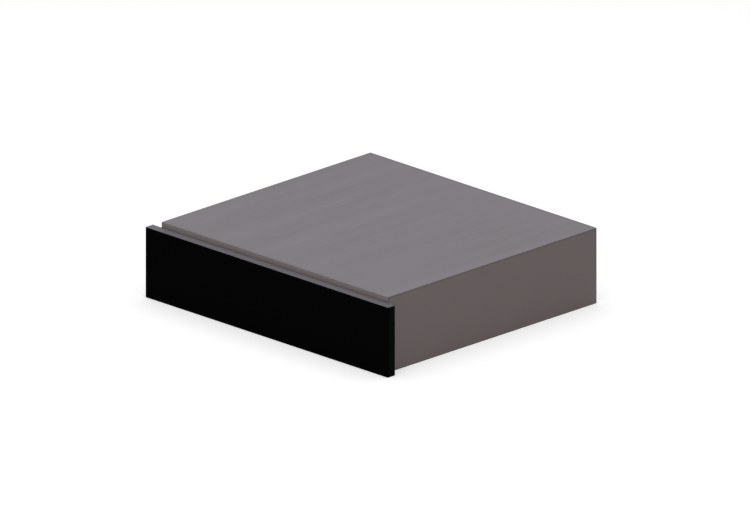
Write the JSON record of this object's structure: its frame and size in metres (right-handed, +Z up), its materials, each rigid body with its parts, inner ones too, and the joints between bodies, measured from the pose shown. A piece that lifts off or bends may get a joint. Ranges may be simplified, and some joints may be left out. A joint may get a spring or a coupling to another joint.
{
  "type": "warming drawer",
  "caption": "Low built-in warming drawer: sheet casing, overhanging black glass front and a heated tub on ball slides.",
  "frame": {"origin": "middle of the overall outline's underside, on the surface that the casing stands on", "axes": "+Z up; the front faces -Y; +X is to the right for someone who looks at the front"},
  "size_m": [0.595, 0.535, 0.139],
  "materials": {
    "top_sheet": "brushed",
    "side_sheet": "brushed",
    "zinc_sheet": "satin",
    "screw_steel": "satin",
    "black_rubber": "matte",
    "black_plastic": "matte",
    "cream_plastic": "matte",
    "rail_steel": "satin",
    "ball_steel": "polished",
    "spring_steel": "satin",
    "black_glass": "polished",
    "satin_trim": "satin",
    "black_profile": "satin",
    "board_green": "satin",
    "amber_lens": "polished",
    "stainless": "brushed",
    "element_tube": "satin",
    "fan_aluminium": "satin",
    "motor_steel": "satin",
    "cutout_body": "matte"
  },
  "bodies": {
    "cabinet": {"top_cover": "top_sheet", "left_side_panel": "side_sheet", "right_side_panel": "side_sheet", "base_pan": "zinc_sheet", "rear_panel": "zinc_sheet", "casing_screws": "screw_steel", "front_buffers": "black_rubber", "cable_gland": "black_plastic", "terminal_block": "cream_plastic", "terminal_cover": "black_plastic", "latch_housing": "black_plastic", "left_outer_rail": "rail_steel", "right_outer_rail": "rail_steel"},
    "plunger": {"latch_plunger": "spring_steel", "latch_spring": "spring_steel"},
    "left_middle": {"left_middle_rail": "rail_steel"},
    "right_middle": {"right_middle_rail": "rail_steel"},
    "left_outer_carriage": {"left_outer_cage": "rail_steel", "left_outer_balls": "ball_steel"},
    "right_outer_carriage": {"right_outer_cage": "rail_steel", "right_outer_balls": "ball_steel"},
    "left_inner_carriage": {"left_inner_cage": "rail_steel", "left_inner_balls": "ball_steel"},
    "right_inner_carriage": {"right_inner_cage": "rail_steel", "right_inner_balls": "ball_steel"},
    "drawer": {"left_inner_rail": "rail_steel", "right_inner_rail": "rail_steel", "front_glass": "black_glass", "top_trim": "satin_trim", "left_side_profile": "black_profile", "right_side_profile": "black_profile", "bottom_profile": "black_profile", "panel_carrier": "black_profile", "front_box": "zinc_sheet", "control_fascia": "satin_trim", "control_board": "board_green", "selector_body": "black_plastic", "switch_housing": "black_plastic", "pilot_lamp": "amber_lens", "tray_base": "zinc_sheet", "left_tray_side": "zinc_sheet", "right_tray_side": "zinc_sheet", "tub_liner": "stainless", "anti_slip_mat": "black_rubber", "rear_grille": "stainless", "heater_box": "zinc_sheet", "heater_lid": "zinc_sheet", "heating_element": "element_tube", "element_brackets": "zinc_sheet", "fan_scroll": "zinc_sheet", "fan_bush": "black_rubber", "fan_motor": "motor_steel", "thermal_cutout": "cutout_body", "latch_striker": "screw_steel", "drawer_screws": "screw_steel"},
    "knob": {"selector_knob": "satin_trim", "selector_spindle": "spring_steel"},
    "rocker": {"switch_rocker": "black_plastic"},
    "fan": {"fan_rotor": "fan_aluminium", "fan_shaft": "spring_steel"}
  },
  "joints": [
    {"name": "drawer_slide", "type": "slide", "parent": "cabinet", "child": "drawer", "axis": [0, -1, 0], "range_m": [0, 0.35]},
    {"name": "left_middle_slide", "type": "slide", "parent": "cabinet", "child": "left_middle", "axis": [0, -1, 0], "range_m": [0, 0.175]},
    {"name": "left_outer_carriage_slide", "type": "slide", "parent": "cabinet", "child": "left_outer_carriage", "axis": [0, -1, 0], "range_m": [0, 0.0875]},
    {"name": "left_inner_carriage_slide", "type": "slide", "parent": "cabinet", "child": "left_inner_carriage", "axis": [0, -1, 0], "range_m": [0, 0.2625]},
    {"name": "right_middle_slide", "type": "slide", "parent": "cabinet", "child": "right_middle", "axis": [0, -1, 0], "range_m": [0, 0.175]},
    {"name": "right_outer_carriage_slide", "type": "slide", "parent": "cabinet", "child": "right_outer_carriage", "axis": [0, -1, 0], "range_m": [0, 0.0875]},
    {"name": "right_inner_carriage_slide", "type": "slide", "parent": "cabinet", "child": "right_inner_carriage", "axis": [0, -1, 0], "range_m": [0, 0.2625]},
    {"name": "knob_turn", "type": "hinge", "parent": "drawer", "child": "knob", "pos_m": [0.15, -0.2269, 0.119], "axis": [0, 0, -1], "range_deg": [0, 270]},
    {"name": "rocker_tilt", "type": "hinge", "parent": "drawer", "child": "rocker", "pos_m": [0.09, -0.2269, 0.1135], "axis": [-1, 0, 0], "range_deg": [0, 16]},
    {"name": "fan_spin", "type": "hinge", "parent": "drawer", "child": "fan", "pos_m": [0, 0.185, 0.058], "axis": [1, 0, 0], "continuous": true},
    {"name": "latch_press", "type": "slide", "parent": "cabinet", "child": "plunger", "axis": [0, 1, 0], "range_m": [0, 0.002], "stiffness_N_per_m": 800, "deforming": ["latch_spring"]}
  ],
  "couplings": [
    {"joint": "left_middle_slide", "follows": "drawer_slide", "ratio": 0.5},
    {"joint": "left_outer_carriage_slide", "follows": "drawer_slide", "ratio": 0.25},
    {"joint": "left_inner_carriage_slide", "follows": "drawer_slide", "ratio": 0.75},
    {"joint": "right_middle_slide", "follows": "drawer_slide", "ratio": 0.5},
    {"joint": "right_outer_carriage_slide", "follows": "drawer_slide", "ratio": 0.25},
    {"joint": "right_inner_carriage_slide", "follows": "drawer_slide", "ratio": 0.75}
  ]
}
